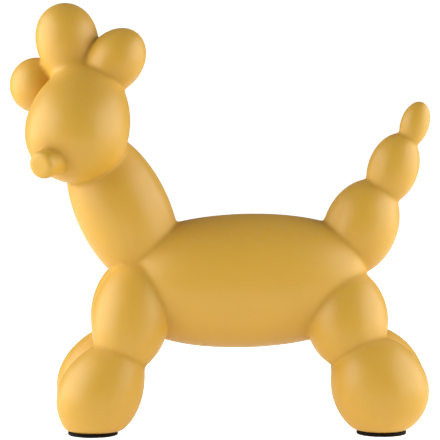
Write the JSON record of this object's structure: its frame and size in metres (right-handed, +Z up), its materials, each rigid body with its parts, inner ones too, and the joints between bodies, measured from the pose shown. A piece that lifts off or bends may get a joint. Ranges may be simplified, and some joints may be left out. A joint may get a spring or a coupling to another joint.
{
  "type": "balloon dog figurine",
  "caption": "Cast figurine of a balloon poodle: rounded bubbles form a long body, neck, turned head with a lobed crown, legs and a tapering tail, standing on round felt pads.",
  "frame": {"origin": "on the floor under the middle of the figurine's bounding box", "axes": "+Z up, -X towards the head, +X towards the tail, -Y the side that the head looks to"},
  "size_m": [0.2414, 0.1086, 0.2425],
  "materials": {
    "casting": "smooth mustard-yellow satin lacquer over cast resin",
    "felt": "dense black self-adhesive felt"
  },
  "bodies": {
    "root": {"balloon_poodle": "casting", "pad_front_right": "felt", "pad_front_left": "felt", "pad_rear_right": "felt", "pad_rear_left": "felt"}
  },
  "joints": []
}
